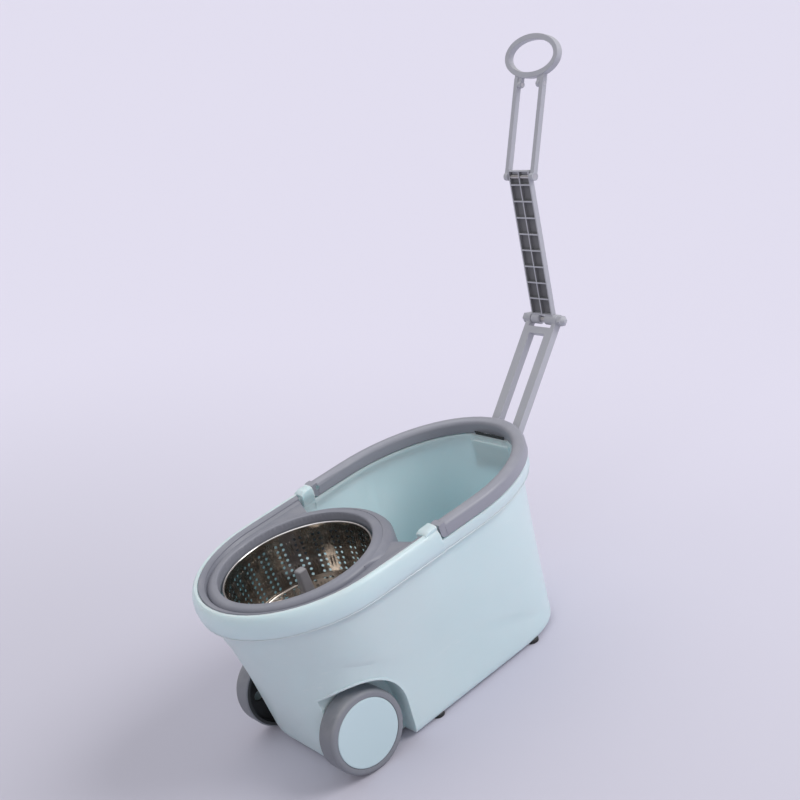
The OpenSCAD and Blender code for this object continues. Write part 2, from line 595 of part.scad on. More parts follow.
module axle(side) color("silver") on_axle(side) translate([0, 0, boss_in + 3 - wheel_in])
    cylinder(r = axle_r, h = wheel_in - boss_in - 3 + hub_out + 2.2);
module axle_retainer(side) color("darkgray") on_axle(side) translate([0, 0, hub_out + 0.2]) difference() {
    cylinder(r = hub_r - 1, h = 1.6);
    translate([0, 0, -1]) cylinder(r = axle_r, h = 4);
}

// ---- Drawbar: a link is drawn along +X from its first pin, its front face towards +Z ----
module link(at, angle) placed() translate([at[0], 0, at[1]]) rotate([0, -angle, 0]) children();
module across(x, r, from, to, z = 0) translate([x, from, z]) rotate([-90, 0, 0]) cylinder(r = r, h = to - from);
lug_r = 8;
lug_y = lower_w / 2;                 // outer face of the lower link's lugs
knuckle_y = middle_w / 2 + 0.5;      // half width of the middle link's knuckles
bracket_y = lower_w / 2 + 1;
bracket_t = 5;
plate_t = 2;
slot_low = 12;
slot_high = lower_len - 22.5;
bar_end = lower_len - 12.5;

module handle_bracket() color("gray") placed() difference() {
    union() {
        translate([pocket_x, -bracket_y - bracket_t, base_pin_at[1] - 26])
            cube([plate_t, 2 * (bracket_y + bracket_t), 40]);
        for (s = [-1, 1]) translate([0, s > 0 ? bracket_y : -bracket_y - bracket_t, 0]) {
            translate([base_pin_at[0], 0, base_pin_at[1]]) rotate([-90, 0, 0]) cylinder(r = lug_r, h = bracket_t);
            translate([pocket_x, 0, base_pin_at[1] - lug_r])
                cube([base_pin_at[0] - pocket_x, bracket_t, 2 * lug_r]);
        }
    }
    placed_across(base_pin_at, hinge_r, -60, 60);
    for (p = bracket_screw_at) translate([pocket_x - 1, p[0], p[1]]) rotate([0, 90, 0]) cylinder(r = 2, h = 6, $fn = 24);
}
module placed_across(at, r, from, to) translate([at[0], from, at[1]]) rotate([-90, 0, 0]) cylinder(r = r, h = to - from);
bracket_screw_at = [for (y = [-22, 22]) [y, base_pin_at[1] - 20]];
module bracket_screws() color("silver") placed() for (p = bracket_screw_at) translate([pocket_x, p[0], p[1]]) rotate([0, 90, 0]) {
    translate([0, 0, -1.8]) cylinder(r = 2, h = 1.8 + plate_t, $fn = 24);
    translate([0, 0, plate_t]) cylinder(r1 = 3.8, r2 = 2.8, h = 1.8, $fn = 24);
}
module base_pin() color("silver") placed() placed_across(base_pin_at, hinge_r, -bracket_y - bracket_t + 0.5, bracket_y + bracket_t - 0.5);
module lower_link() color("gray") link(base_pin_at, lower_angle) difference() {
    bar_w = (lower_w - slot_w) / 2;
    union() {
        translate([0, -lug_y, -lower_t / 2]) cube([bar_end, lower_w, lower_t]);
        across(0, lug_r - 1, -lug_y, lug_y);
        for (s = [-1, 1]) {
            from = s > 0 ? knuckle_y + 0.6 : -lug_y;
            to = s > 0 ? lug_y : -knuckle_y - 0.6;
            across(lower_len, lug_r, from, to);
            translate([bar_end - 8, from, -lower_t / 2]) cube([20.5, to - from, lower_t]);
        }
    }
    across(0, hinge_r + run_gap, -60, 60);
    across(lower_len, hinge_r, -60, 60);
    // the see-through slot with round ends
    translate([slot_low + 4, -slot_w / 2, -20]) cube([slot_high - slot_low - 4, slot_w, 40]);
    // ribbed channels in the back of both bars
    for (s = [-1, 1], k = [0:4]) translate([slot_low + 3 + k * (slot_high - slot_low) / 5,
        s * (lower_w - bar_w) / 2 - (bar_w - 5) / 2, -lower_t / 2 - 1])
        cube([(slot_high - slot_low) / 5 - 3, bar_w - 5, lower_t - 2]);
}
module knee_pin() color("silver") link(knee_at, lower_angle) across(0, hinge_r, -lug_y - 5, lug_y + 5);
module knee_cap(side) color("gray") link(knee_at, lower_angle) difference() {
    y = lug_y + 0.2;
    rotate([-side * 90, 0, 0]) union() {
        translate([0, 0, y]) cylinder(r = lug_r - 1, h = 2);
        translate([0, 0, y + 2 - eps]) cylinder(r = lug_r - 0.6, h = 5, $fn = 6);
        translate([0, 0, y + 7 - 2 * eps]) cylinder(r1 = lug_r - 1.8, r2 = 2.5, h = 4.5);
    }
    rotate([-side * 90, 0, 0]) translate([0, 0, y - 1]) cylinder(r = hinge_r, h = 6 - 0.2);
}
pocket_wall = 2.2;
module middle_link() color("lightgray") link(knee_at, middle_angle) difference() {
    half = middle_w / 2;
    low = 7.5;
    high = middle_len + 8;
    pitch = (middle_len - 10.5 - low) / (pocket_rows - 1);
    col = half - 1.5 * pocket_wall;
    union() {
        translate([low - 1, -half, -middle_t / 2]) cube([high - low + 1, middle_w, middle_t]);
        for (s = [-1, 1]) {
            from = s > 0 ? 6 : -knuckle_y;
            across(0, 7, from, from + knuckle_y - 6);
            translate([0, from, -middle_t / 2]) cube([low, knuckle_y - 6, middle_t]);
        }
    }
    across(0, hinge_r + run_gap, -40, 40);
    across(middle_len, 3, -40, 40);
    for (k = [0:pocket_rows - 1], s = [0, 1]) {
        from = low + k * pitch;
        size = k == pocket_rows - 1 ? high - from - pocket_wall : pitch - pocket_wall;
        translate([from + pocket_wall / 2, s == 0 ? pocket_wall / 2 : -pocket_wall / 2 - col, 2 - middle_t / 2])
            cube([size, col, middle_t]);
    }
}
rail_in = middle_w / 2 + 1;
rail_t = 7;
module top_pin() color("silver") link(top_pin_at, rail_angle) across(0, 3, -rail_in - rail_w, rail_in + rail_w);
module rail(side) color("lightgray") link(top_pin_at, rail_angle) difference() {
    from = side > 0 ? rail_in : -rail_in - rail_w;
    union() {
        translate([0, from, -rail_t / 2]) cube([rail_len + 8, rail_w, rail_t]);
        across(0, rail_t / 2 + 2, from, from + rail_w);
    }
    across(0, 3 + run_gap, -50, 50);
    across(rail_len, 2.5, -50, 50);
}
grip_lug = 6;
module ring_grip() color("gray") link(top_pin_at, rail_angle) difference() {
    union() {
        translate([ring_mid, 0, -ring_t / 2]) linear_extrude(ring_t) difference() {
            scale([ring_l / 2, ring_w / 2]) circle(r = 1, $fn = 64);
            scale([ring_l / 2 - ring_band, ring_w / 2 - ring_band]) circle(r = 1, $fn = 64);
        }
        for (s = [-1, 1]) {
            from = s > 0 ? rail_in - part_gap / 2 - grip_lug : -rail_in + part_gap / 2;
            translate([rail_len, from, -3]) cube([ring_mid - ring_l / 2 + 3 - rail_len + 1, grip_lug, 6]);
            across(rail_len, 4.5, from, from + grip_lug);
        }
    }
    across(rail_len, 2.5, -50, 50);
}
module grip_rivets() color("silver") link(top_pin_at, rail_angle) for (s = [-1, 1]) {
    from = s > 0 ? rail_in - grip_lug : -rail_in - rail_w;
    across(rail_len, 2.5, from, from + grip_lug + rail_w);
}

bucket_body();
spindle_tower();
spindle_pin();
thrust_washer();
bearing_bush();
basket_hub();
basket_floor();
basket_wall();
basket_rim();
center_post();
basket_screws();
splash_collar();
bail();
bail_pin(1);  // bail_pin_left
bail_pin(-1);  // bail_pin_right
wheel(1);  // wheel_left
wheel(-1);  // wheel_right
wheel_cap(1);  // wheel_cap_left
wheel_cap(-1);  // wheel_cap_right
axle(1);  // axle_left
axle(-1);  // axle_right
axle_retainer(1);  // axle_retainer_left
axle_retainer(-1);  // axle_retainer_right
foot(foot_x[0], 1);  // foot_front_left
foot(foot_x[0], -1);  // foot_front_right
foot(foot_x[1], 1);  // foot_rear_left
foot(foot_x[1], -1);  // foot_rear_right
handle_bracket();
bracket_screws();
base_pin();
lower_link();
knee_pin();
knee_cap(1);  // knee_cap_left
knee_cap(-1);  // knee_cap_right
middle_link();
top_pin();
rail(1);  // rail_left
rail(-1);  // rail_right
ring_grip();
grip_rivets();
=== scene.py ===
import json
import math

import bmesh
import bpy
from mathutils import Matrix, Quaternion, Vector


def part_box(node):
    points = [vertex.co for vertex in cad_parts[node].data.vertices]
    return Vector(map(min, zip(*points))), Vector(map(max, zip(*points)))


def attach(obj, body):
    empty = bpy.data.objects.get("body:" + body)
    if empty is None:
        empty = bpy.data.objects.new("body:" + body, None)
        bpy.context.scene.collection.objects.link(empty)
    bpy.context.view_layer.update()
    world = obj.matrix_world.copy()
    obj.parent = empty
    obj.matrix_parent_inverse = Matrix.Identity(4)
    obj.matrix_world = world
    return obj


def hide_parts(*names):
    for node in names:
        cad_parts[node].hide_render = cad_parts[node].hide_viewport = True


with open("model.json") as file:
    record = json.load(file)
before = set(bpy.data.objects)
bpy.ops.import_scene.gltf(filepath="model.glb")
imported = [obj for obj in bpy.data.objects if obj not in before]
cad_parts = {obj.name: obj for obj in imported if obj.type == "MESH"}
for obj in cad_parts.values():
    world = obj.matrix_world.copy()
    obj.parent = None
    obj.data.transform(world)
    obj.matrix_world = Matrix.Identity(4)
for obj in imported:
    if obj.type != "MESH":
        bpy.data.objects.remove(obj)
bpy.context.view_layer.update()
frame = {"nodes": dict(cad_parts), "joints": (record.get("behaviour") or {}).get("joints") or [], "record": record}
node = frame["nodes"]
collection = bpy.context.scene.collection

# ---- Camera ----
# A studio camera on a tripod, in front of the bucket's right side and above it. Its head is
# tipped sideways, so the bucket seems to lean forward on its wheels.
camera = bpy.data.objects.new("camera", bpy.data.cameras.new("camera"))
collection.objects.link(camera)
bpy.context.scene.camera = camera
camera.data.lens = 63.43
camera.data.sensor_width = 36
camera.data.clip_start = 0.05
camera.data.clip_end = 120
camera_azimuth = math.radians(-31.801)
camera_elevation = math.radians(21.659)
camera_roll = math.radians(-19.078)
camera_back = Vector((
    math.sin(camera_azimuth) * math.cos(camera_elevation),
    -math.cos(camera_azimuth) * math.cos(camera_elevation),
    math.sin(camera_elevation),
))
camera.rotation_mode = "QUATERNION"
camera_tilt = Quaternion((0, 0, 1), camera_roll)
camera.rotation_quaternion = (-camera_back).to_track_quat("-Z", "Y") @ camera_tilt
camera.location = (-0.87984, -1.39131, 0.99642)

# ---- Floor, backdrop and lamps ----
# A pale lavender sheet of paper, so broad that it is the backdrop too, with a painted shadow that
# makes it a little darker round the wheels. Three soft lamps stand over it, in a room with a low, even light.
bpy.context.scene.view_settings.view_transform = "Standard"
paper_radius = 55
sheet = bmesh.new()
bmesh.ops.create_circle(sheet, cap_ends=True, segments=96, radius=paper_radius)
floor_mesh = bpy.data.meshes.new("floor")
sheet.to_mesh(floor_mesh)
sheet.free()
floor = bpy.data.objects.new("floor", floor_mesh)
collection.objects.link(floor)
paper = bpy.data.materials.new("studio_paper")
paper.use_nodes = True
paper_nodes, paper_links = paper.node_tree.nodes, paper.node_tree.links
paper_shader = paper_nodes["Principled BSDF"]
paper_shader.inputs["Roughness"].default_value = 0.9
paper_shader.inputs["Specular IOR Level"].default_value = 0.0
paper_place = paper_nodes.new("ShaderNodeTexCoord")
paper_shift = paper_nodes.new("ShaderNodeMapping")
paper_shift.inputs["Location"].default_value = (0.6, -0.045, 0)
paper_shift.inputs["Scale"].default_value = (1, 0.45, 1)
paper_links.new(paper_place.outputs["Object"], paper_shift.inputs["Vector"])
paper_reach = paper_nodes.new("ShaderNodeVectorMath")
paper_reach.operation = "LENGTH"
paper_links.new(paper_shift.outputs["Vector"], paper_reach.inputs[0])
# painted shadow: the paper is darkest at a spot in front of the bucket and fades out to its own colour
paper_shadow_fade = paper_nodes.new("ShaderNodeMapRange")
paper_shadow_fade.interpolation_type = "SMOOTHSTEP"
paper_shadow_fade.inputs["From Min"].default_value = 0.0
paper_shadow_fade.inputs["From Max"].default_value = 1.35
paper_links.new(paper_reach.outputs["Value"], paper_shadow_fade.inputs["Value"])
paper_painted_shadow = paper_nodes.new("ShaderNodeMix")
paper_painted_shadow.data_type = "RGBA"
paper_painted_shadow.inputs[6].default_value = (0.55, 0.535, 0.615, 1)
paper_painted_shadow.inputs[7].default_value = (0.74, 0.712, 0.828, 1)
paper_links.new(paper_shadow_fade.outputs["Result"], paper_painted_shadow.inputs["Factor"])
paper_links.new(paper_painted_shadow.outputs[2], paper_shader.inputs["Base Color"])
floor.data.materials.append(paper)

room = bpy.data.worlds.new("room")
bpy.context.scene.world = room
room.use_nodes = True
room_nodes, room_links = room.node_tree.nodes, room.node_tree.links
room_light = room_nodes["Background"]
room_light.inputs["Color"].default_value = (0.96, 0.97, 1.0, 1)
room_light.inputs["Strength"].default_value = 0.5
# what metal mirrors: grey below and at eye level, a dim brown wall above that, a bright ceiling
room_seen = room_nodes.new("ShaderNodeBackground")
room_way = room_nodes.new("ShaderNodeTexCoord")
room_up = room_nodes.new("ShaderNodeSeparateXYZ")
room_links.new(room_way.outputs["Generated"], room_up.inputs["Vector"])
room_bands = room_nodes.new("ShaderNodeValToRGB")
room_bands.color_ramp.elements[0].position = 0.1
room_bands.color_ramp.elements[0].color = (0.5, 0.48, 0.5, 1)
room_bands.color_ramp.elements[1].position = 0.9
room_bands.color_ramp.elements[1].color = (0.95, 0.95, 1.0, 1)
room_shade = room_bands.color_ramp.elements.new(0.45)
room_shade.color = (0.2, 0.17, 0.15, 1)
room_links.new(room_up.outputs["Z"], room_bands.inputs["Fac"])
room_links.new(room_bands.outputs["Color"], room_seen.inputs["Color"])
room_ray = room_nodes.new("ShaderNodeLightPath")
room_sharp = room_nodes.new("ShaderNodeMath")
room_sharp.operation = "ADD"
room_sharp.use_clamp = True
room_links.new(room_ray.outputs["Is Glossy Ray"], room_sharp.inputs[0])
room_links.new(room_ray.outputs["Is Transmission Ray"], room_sharp.inputs[1])
room_mix = room_nodes.new("ShaderNodeMixShader")
room_links.new(room_sharp.outputs["Value"], room_mix.inputs["Fac"])
room_links.new(room_light.outputs["Background"], room_mix.inputs[1])
room_links.new(room_seen.outputs["Background"], room_mix.inputs[2])
# past the edge of the paper the camera sees a wall in the paper's own colour
room_wall = room_nodes.new("ShaderNodeBackground")
room_wall.inputs["Color"].default_value = (0.76, 0.737, 0.871, 1)
room_last = room_nodes.new("ShaderNodeMixShader")
room_links.new(room_ray.outputs["Is Camera Ray"], room_last.inputs["Fac"])
room_links.new(room_mix.outputs["Shader"], room_last.inputs[1])
room_links.new(room_wall.outputs["Background"], room_last.inputs[2])
room_links.new(room_last.outputs["Shader"], room_nodes["World Output"].inputs["Surface"])

for lamp_name, lamp_way, lamp_spread, lamp_power in (
    ("key_from_right", (0.95, -0.95, 0.95), 30, 1.55),
    ("fill_from_left", (-0.9, -0.9, 0.9), 60, 0.4),
    ("top_light", (0.25, 0.6, 1.2), 60, 0.68),
):
    lamp = bpy.data.objects.new(lamp_name, bpy.data.lights.new(lamp_name, "SUN"))
    collection.objects.link(lamp)
    lamp.data.angle = math.radians(lamp_spread)
    lamp.data.energy = lamp_power
    lamp.rotation_mode = "QUATERNION"
    lamp.rotation_quaternion = Vector(lamp_way).to_track_quat("Z", "Y")

# ---- Bucket body ----
# One injection moulding in pale aqua polypropylene that lets a little light through: an oval tub
# with a rolled skirt under its rim, arches for the wheels and a channel at the back for the
# drawbar.


def shader_group(name, numbers, results):
    tree = bpy.data.node_groups.new(name, "ShaderNodeTree")
    for label, value in numbers:
        socket = tree.interface.new_socket(label, in_out="INPUT", socket_type="NodeSocketFloat")
        socket.default_value = value
    for label in results:
        tree.interface.new_socket(label, in_out="OUTPUT", socket_type="NodeSocketFloat")
    return tree, tree.nodes.new("NodeGroupInput"), tree.nodes.new("NodeGroupOutput")


def set_in(tree, target, value):
    """Gives a socket a plain value, or a link where the value is another node's output."""
    if hasattr(value, "is_output"):
        tree.links.new(value, target)
    else:
        target.default_value = value


def noise(tree, place, size, detail=3, rough=0.55):
    made = tree.nodes.new("ShaderNodeTexNoise")
    made.inputs["Detail"].default_value = detail
    made.inputs["Roughness"].default_value = rough
    tree.links.new(place, made.inputs["Vector"])
    set_in(tree, made.inputs["Scale"], size)
    return made.outputs["Fac"]


def maths(tree, operation, first, second=0.0, third=0.0):
    made = tree.nodes.new("ShaderNodeMath")
    made.operation = operation
    for target, value in zip(made.inputs, (first, second, third)):
        set_in(tree, target, value)
    return made.outputs["Value"]


def ramp(tree, value, low, high, out_low=0.0, out_high=1.0):
    made = tree.nodes.new("ShaderNodeMapRange")
    made.interpolation_type = "SMOOTHSTEP"
    for label, given in (
        ("Value", value),
        ("From Min", low),
        ("From Max", high),
        ("To Min", out_low),
        ("To Max", out_high),
    ):
        set_in(tree, made.inputs[label], given)
    return made.outputs["Result"]


# the fine skin that a spark-eroded mould leaves, and the slow mottling of cooling plastic
skin_sizes = (("Grain", 900), ("Mottle", 7))
skin, skin_in, skin_out = shader_group("mould_skin", skin_sizes, ("Height", "Mottling"))
skin_place = skin.nodes.new("ShaderNodeTexCoord").outputs["Object"]
fine = noise(skin, skin_place, skin_in.outputs["Grain"], 2, 0.6)
broad = noise(skin, skin_place, skin_in.outputs["Mottle"], 2, 0.5)
skin.links.new(maths(skin, "MULTIPLY_ADD", broad, 0.6, fine), skin_out.inputs["Height"])
skin.links.new(ramp(skin, broad, 0.3, 0.7), skin_out.inputs["Mottling"])

# short rubbed marks from hands, floors and cupboards
scuff_sizes = (("Size", 60), ("Amount", 0.5))
scuffs, scuffs_in, scuffs_out = shader_group("handling_scuffs", scuff_sizes, ("Mask",))
scuffs_place = scuffs.nodes.new("ShaderNodeTexCoord").outputs["Object"]
stretch = scuffs.nodes.new("ShaderNodeMapping")
stretch.inputs["Rotation"].default_value = (0.3, 0.5, 0.8)
stretch.inputs["Scale"].default_value = (0.25, 1, 1.6)
scuffs.links.new(scuffs_place, stretch.inputs["Vector"])
streak = noise(scuffs, stretch.outputs["Vector"], scuffs_in.outputs["Size"], 5, 0.7)
patch_size = 9
patch = noise(scuffs, scuffs_place, patch_size, 2, 0.5)
worn = maths(scuffs, "MULTIPLY", ramp(scuffs, streak, 0.58, 0.72), ramp(scuffs, patch, 0.45, 0.65))
worn = maths(scuffs, "MULTIPLY", worn, scuffs_in.outputs["Amount"])
scuffs.links.new(worn, scuffs_out.inputs["Mask"])

# a thin film of dust and dried soap on what faces up
film_sizes = (("Amount", 0.3), ("Size", 30))
film, film_in, film_out = shader_group("settled_film", film_sizes, ("Mask",))
film_place = film.nodes.new("ShaderNodeTexCoord")
up = film.nodes.new("ShaderNodeSeparateXYZ")
film.links.new(film_place.outputs["Normal"], up.inputs["Vector"])
cloud = noise(film, film_place.outputs["Object"], film_in.outputs["Size"], 4, 0.6)
lying = maths(film, "MULTIPLY", ramp(film, up.outputs["Z"], 0.2, 0.95), ramp(film, cloud, 0.4, 0.75))
lying = maths(film, "MULTIPLY", lying, film_in.outputs["Amount"])
film.links.new(lying, film_out.inputs["Mask"])


def group_node(tree, group, **numbers):
    made = tree.nodes.new("ShaderNodeGroup")
    made.node_tree = group
    for label, value in numbers.items():
        made.inputs[label].default_value = value
    return made


def blend_colour(tree, mask, first, second):
    made = tree.nodes.new("ShaderNodeMix")
    made.data_type = "RGBA"
    set_in(tree, made.inputs["Factor"], mask)
    set_in(tree, made.inputs[6], first)
    set_in(tree, made.inputs[7], second)
    return made.outputs[2]


def plastic(name, colour, shade, roughness, worn_colour, scuff=0.4, dust=0.25, coat=0.0, milky=0.0):
    """A moulded plastic: mottled between two close colours, with skin, rubbed marks and dust."""
    grain, skin_depth, skin_strength = 900, 0.00003, 0.5
    dust_colour = (0.56, 0.55, 0.54, 1)
    mottle_rough, scuff_rough, dust_rough = 0.05, 0.3, 0.35
    made = bpy.data.materials.new(name)
    made.use_nodes = True
    tree = made.node_tree
    shader = tree.nodes["Principled BSDF"]
    surface = group_node(tree, skin, Grain=grain)
    marks = group_node(tree, scuffs, Amount=scuff)
    settled = group_node(tree, film, Amount=dust)
    base = blend_colour(tree, surface.outputs["Mottling"], (*colour, 1), (*shade, 1))
    base = blend_colour(tree, marks.outputs["Mask"], base, (*worn_colour, 1))
    base = blend_colour(tree, settled.outputs["Mask"], base, dust_colour)
    tree.links.new(base, shader.inputs["Base Color"])
    rough = maths(tree, "MULTIPLY_ADD", surface.outputs["Mottling"], mottle_rough, roughness)
    rough = maths(tree, "MULTIPLY_ADD", marks.outputs["Mask"], scuff_rough, rough)
    rough = maths(tree, "MULTIPLY_ADD", settled.outputs["Mask"], dust_rough, rough)
    tree.links.new(rough, shader.inputs["Roughness"])
    dents = tree.nodes.new("ShaderNodeBump")
    dents.inputs["Strength"].default_value = skin_strength
    dents.inputs["Distance"].default_value = skin_depth
    tree.links.new(surface.outputs["Height"], dents.inputs["Height"])
    tree.links.new(dents.outputs["Normal"], shader.inputs["Normal"])
    if coat:
        shader.inputs["Coat Weight"].default_value = coat
    if milky:
        shader.inputs["Subsurface Weight"].default_value = milky
        shader.inputs["Subsurface Radius"].default_value = (0.8, 1, 1)
        shader.inputs["Subsurface Scale"].default_value = 0.008
    return made


def rounded_copy(source, name, body, material, rounding=0.0005, corner=30):
    """A copy of a CAD node, with smooth facets and eased corners, that stands for the node."""
    weld_distance, flat_angle = 2e-6, math.radians(0.4)
    piece = bpy.data.objects.new(name, node[source].data.copy())
    collection.objects.link(piece)
    shape = bmesh.new()
    shape.from_mesh(piece.data)
    bmesh.ops.remove_doubles(shape, verts=shape.verts, dist=weld_distance)
    bmesh.ops.dissolve_limit(shape, angle_limit=flat_angle, verts=shape.verts, edges=shape.edges)
    shape.to_mesh(piece.data)
    shape.free()
    piece.data.shade_smooth()
    piece.data.set_sharp_from_angle(angle=math.radians(corner))
    if rounding:
        ease = piece.modifiers.new("eased corners", "BEVEL")
        ease.limit_method = "ANGLE"
        ease.angle_limit = math.radians(corner)
        ease.width = rounding
        ease.segments = 2
        ease.harden_normals = False
        even = piece.modifiers.new("even shading", "WEIGHTED_NORMAL")
        even.keep_sharp = True
        even.mode = "FACE_AREA"
    piece.data.materials.clear()
    piece.data.materials.append(material)
    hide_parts(source)
    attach(piece, body)
    return piece


def new_piece(name, shape, material, body):
    """Makes a finished bmesh a piece of its own, which moves with a body of the frame."""
    mesh = bpy.data.meshes.new(name)
    shape.to_mesh(mesh)
    shape.free()
    piece = bpy.data.objects.new(name, mesh)
    collection.objects.link(piece)
    piece.data.materials.append(material)
    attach(piece, body)
    return piece


aqua = plastic(
    "aqua_polypropylene",
    (0.605, 0.73, 0.765),
    (0.58, 0.705, 0.74),
    0.33,
    (0.74, 0.8, 0.82),
    coat=0.1,
    milky=0.8,
)
bucket = rounded_copy("bucket_body", "bucket_tub", "bucket", aqua, rounding=0.0012, corner=35)

# the thin bead that runs along the lower edge of the skirt, up to the channel on either side
hem_height, hem_slack, bead_thickness = 0.216, 0.0001, 0.001
hem_next = {}
for edge in bucket.data.edges:
    if all(abs(bucket.data.vertices[end].co.z - hem_height) < hem_slack for end in edge.vertices):
        for end, other in (edge.vertices, reversed(edge.vertices)):
            hem_next.setdefault(end, []).append(other)
spot = min(hem_next, key=lambda end: (len(hem_next[end]), bucket.data.vertices[end].co.y))
hem_line = []
while spot is not None:
    hem_line.append(spot)
    spot = next((other for other in hem_next[spot] if other not in hem_line), None)
bead_path = bpy.data.curves.new("skirt_bead_path", "CURVE")
bead_path.dimensions = "3D"
bead_path.bevel_depth = bead_thickness
bead_path.bevel_resolution = 2
bead_path.use_fill_caps = True
bead_run = bead_path.splines.new("POLY")
bead_run.points.add(len(hem_line) - 1)
for point, end in zip(bead_run.points, hem_line):
    point.co = (*bucket.data.vertices[end].co, 1)
bead_curve = bpy.data.objects.new("skirt_bead_curve", bead_path)
collection.objects.link(bead_curve)
bpy.context.view_layer.update()
shaped_curve = bead_curve.evaluated_get(bpy.context.evaluated_depsgraph_get())
bead_mesh = bpy.data.meshes.new_from_object(shaped_curve)
bpy.data.objects.remove(bead_curve)
bpy.data.curves.remove(bead_path)
skirt_bead = bpy.data.objects.new("skirt_bead", bead_mesh)
collection.objects.link(skirt_bead)
skirt_bead.data.shade_smooth()
skirt_bead.data.materials.clear()
skirt_bead.data.materials.append(aqua)
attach(skirt_bead, "bucket")

# a low upright on the wall in front of the channel, where the water is poured out, and on it a
# strainer comb that stands just inside the bail; its near-black colour is partly painted shade for the gap under
# the bail
# painted shade as well as black plastic: the comb's near-black colour also stands for the shadowed gap under the
# bail
comb_black_painted_shade = plastic("comb_plastic_and_shade", (0.03, 0.03, 0.033), (0.024, 0.024, 0.027), 0.5, (0.1, 0.1, 0.1))
comb_x, comb_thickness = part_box("handle_bracket")[0].x - 0.0021, 0.0012
bail_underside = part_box("bail")[0].z
upright_low, upright_high, upright_half = bail_underside - 0.0035, bail_underside - 0.0006, 0.0385
comb_top, comb_half = bail_underside + 0.0038, 0.028
tooth_height, tooth_pitch, tooth_width = 0.0014, 0.0035, 0.002
tooth_low = comb_top - tooth_height
teeth_a_side = int(comb_half / tooth_pitch)


def upright(shape, y, width, low, high):
    """Adds an upright plate, or a tooth, over the channel's front wall."""
    place = Matrix.Translation((comb_x, y, (low + high) / 2))
    size = Matrix.Diagonal((comb_thickness, width, high - low, 1))
    bmesh.ops.create_cube(shape, size=1, matrix=place @ size)


spout = bmesh.new()
upright(spout, 0, 2 * upright_half, upright_low, upright_high)
new_piece("spout_wall", spout, aqua, "bucket")
comb = bmesh.new()
upright(comb, 0, 2 * comb_half, upright_high, tooth_low)
for tooth in range(-teeth_a_side, teeth_a_side + 1):
    upright(comb, tooth * tooth_pitch, tooth_width, tooth_low, comb_top)
new_piece("strainer_comb", comb, comb_black_painted_shade, "bucket")

# ---- Feet ----
# Four short plugs of soft black rubber. Each is pressed into a round seat in the underside of the
# tub and stays there by friction.
pad_worn = (0.12, 0.12, 0.12)
pad_rubber = plastic("pad_rubber", (0.02, 0.02, 0.022), (0.03, 0.03, 0.032), 0.75, pad_worn, scuff=0.6)
for corner_name in ("front_left", "front_right", "rear_left", "rear_right"):
    rounded_copy("foot_" + corner_name, "pad_" + corner_name, "bucket", pad_rubber)

# ---- Spindle ----
# A ribbed grey tower, moulded in plastic, that stands on the tub's floor. A turned steel pin is
# pressed into its top, and a bronze washer on the pin carries the basket's hub.
tower_grey = plastic("tower_plastic", (0.3, 0.31, 0.34), (0.27, 0.28, 0.31), 0.5, (0.5, 0.5, 0.52))


def metal(name, colour, shade, roughness, brushed=(1, 1, 1), line_size=300):
    """A bare metal: brushed or turned lines, stains and a rough patch here and there."""
    line_depth, line_strength = 0.00001, 0.4
    stain_size, line_rough, stain_rough = 22, 0.12, 0.12
    made = bpy.data.materials.new(name)
    made.use_nodes = True
    tree = made.node_tree
    shader = tree.nodes["Principled BSDF"]
    shader.inputs["Metallic"].default_value = 1
    place = tree.nodes.new("ShaderNodeTexCoord").outputs["Object"]
    turned = tree.nodes.new("ShaderNodeMapping")
    turned.inputs["Scale"].default_value = brushed
    tree.links.new(place, turned.inputs["Vector"])
    line = noise(tree, turned.outputs["Vector"], line_size, 4, 0.65)
    stain = noise(tree, place, stain_size, 3, 0.6)
    base = blend_colour(tree, ramp(tree, stain, 0.4, 0.7), (*colour, 1), (*shade, 1))
    tree.links.new(base, shader.inputs["Base Color"])
    rough = maths(tree, "MULTIPLY_ADD", line, line_rough, roughness - line_rough / 2)
    rough = maths(tree, "MULTIPLY_ADD", ramp(tree, stain, 0.5, 0.75), stain_rough, rough)
    tree.links.new(rough, shader.inputs["Roughness"])
    dents = tree.nodes.new("ShaderNodeBump")
    dents.inputs["Strength"].default_value = line_strength
    dents.inputs["Distance"].default_value = line_depth
    tree.links.new(line, dents.inputs["Height"])
    tree.links.new(dents.outputs["Normal"], shader.inputs["Normal"])
    return made


pin_steel = metal("pin_steel", (0.6, 0.6, 0.61), (0.5, 0.49, 0.48), 0.3, (1, 1, 12))
bronze = metal("sintered_bronze", (0.62, 0.42, 0.2), (0.5, 0.34, 0.17), 0.4)
rounded_copy("spindle_tower", "tower", "bucket", tower_grey)
rounded_copy("spindle_pin", "basket_pin", "bucket", pin_steel, rounding=0)
rounded_copy("thrust_washer", "washer", "bucket", bronze, rounding=0)

# ---- Spin basket ----
# A drum of perforated steel sheet with a rolled edge, screwed to a plastic hub that turns on a
# bronze bush. A grey plastic post in the middle takes the mop head's socket.
drum_steel = metal("drum_steel", (0.46, 0.425, 0.39), (0.3, 0.265, 0.235), 0.15, (1, 1, 14), 200)
edge_steel = metal("edge_steel", (0.72, 0.71, 0.7), (0.6, 0.58, 0.56), 0.16)
post_grey = plastic("post_plastic", (0.235, 0.23, 0.25), (0.2, 0.195, 0.215), 0.42, (0.4, 0.4, 0.42))
rounded_copy("bearing_bush", "bush", "basket", bronze, rounding=0)
rounded_copy("basket_hub", "hub", "basket", tower_grey)
rounded_copy("basket_floor", "drum_floor", "basket", drum_steel, rounding=0)
rounded_copy("basket_wall", "drum_wall", "basket", drum_steel, rounding=0)
rounded_copy("basket_rim", "drum_edge", "basket", edge_steel, rounding=0, corner=50)
rounded_copy("center_post", "post", "basket", post_grey)
rounded_copy("basket_screws", "drum_screws", "basket", pin_steel, rounding=0)

